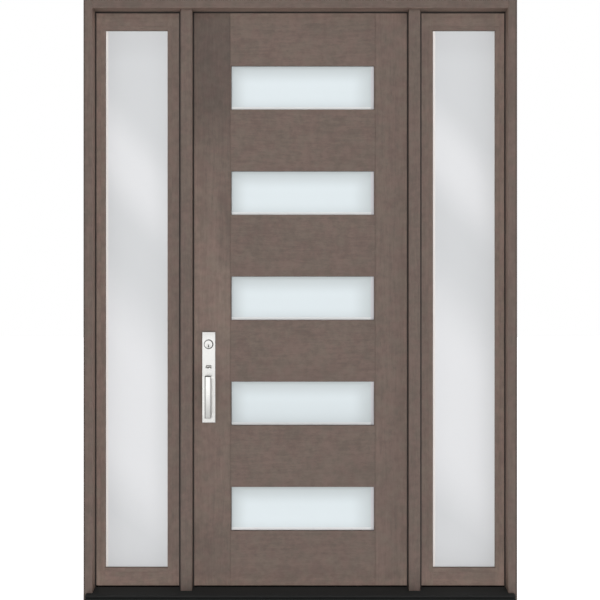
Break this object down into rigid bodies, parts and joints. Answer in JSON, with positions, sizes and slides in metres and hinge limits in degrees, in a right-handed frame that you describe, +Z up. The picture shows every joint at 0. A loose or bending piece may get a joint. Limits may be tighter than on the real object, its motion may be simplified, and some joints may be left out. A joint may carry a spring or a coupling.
{
  "type": "entry door unit with sidelites",
  "caption": "Framed entry door with stacked horizontal frosted lites, tall frosted sidelites, dark sill and a long-plate handleset; the leaf swings inward and the thumb latch presses.",
  "frame": {"origin": "middle of the unit's width on the underside of the sill, halfway through the jamb depth", "axes": "+Z up, +Y into the house, +X to the right as seen from outside"},
  "size_m": [1.785, 0.1965, 2.48],
  "materials": {
    "stained_wood": "satin stain",
    "stained_fibreglass": "satin stain",
    "foam_core": "matt",
    "black_tread": "satin",
    "black_composite": "matt",
    "dark_seal": "matt",
    "frosted_glass": "frosted",
    "white_spacer": "matt",
    "satin_nickel": "satin"
  },
  "bodies": {
    "frame": {"door_sill_cap": "black_composite", "door_weatherstrips": "dark_seal", "frame_hinge_leaves": "satin_nickel", "head_jamb": "stained_wood", "left_mull_post": "stained_wood", "left_side_jamb": "stained_wood", "left_sidelite_beads": "stained_wood", "left_sidelite_bottom_rail": "stained_wood", "left_sidelite_glass": "frosted_glass", "left_sidelite_inner_stile": "stained_wood", "left_sidelite_outer_stile": "stained_wood", "left_sidelite_top_rail": "stained_wood", "right_mull_post": "stained_wood", "right_side_jamb": "stained_wood", "right_sidelite_beads": "stained_wood", "right_sidelite_bottom_rail": "stained_wood", "right_sidelite_glass": "frosted_glass", "right_sidelite_inner_stile": "stained_wood", "right_sidelite_outer_stile": "stained_wood", "right_sidelite_top_rail": "stained_wood", "sidelite_seals": "dark_seal", "sidelite_sill_caps": "black_composite", "sidelite_spacers": "white_spacer", "sill_substrate": "black_composite", "sill_tread": "black_tread", "strike_plates": "satin_nickel"},
    "door": {"door_bottom_rail": "stained_fibreglass", "door_core": "foam_core", "door_exterior_skin": "stained_fibreglass", "door_hinge_leaves": "satin_nickel", "door_hinge_stile": "stained_fibreglass", "door_interior_skin": "stained_fibreglass", "door_latch_stile": "stained_fibreglass", "door_lite_1": "frosted_glass", "door_lite_2": "frosted_glass", "door_lite_3": "frosted_glass", "door_lite_4": "frosted_glass", "door_lite_5": "frosted_glass", "door_lite_spacers": "white_spacer", "door_sweep": "dark_seal", "door_top_rail": "stained_fibreglass", "edge_faceplates": "satin_nickel", "latch_bolts": "satin_nickel", "handle_plate": "satin_nickel", "lock_cylinder": "satin_nickel", "grip_handle": "satin_nickel", "interior_roses": "satin_nickel", "interior_thumb_turn": "satin_nickel", "interior_lever": "satin_nickel"},
    "lock_plug": {"key_plug": "satin_nickel"},
    "thumb": {"thumb_piece": "satin_nickel"}
  },
  "joints": [
    {"name": "door_swing", "type": "hinge", "parent": "frame", "child": "door", "pos_m": [0.4575, 0.0645, 0], "axis": [0, 0, -1], "range_deg": [0, 110]},
    {"name": "thumb_press", "type": "hinge", "parent": "door", "child": "thumb", "pos_m": [-0.383, 0.0094, 0.966], "axis": [1, 0, 0], "range_deg": [0, 12], "stiffness_Nm_per_rad": 0.3, "springref_deg": -8.59},
    {"name": "plug_turn", "type": "hinge", "parent": "door", "child": "lock_plug", "pos_m": [-0.383, 0, 1.052], "axis": [0, -1, 0], "range_deg": [-90, 90]}
  ]
}
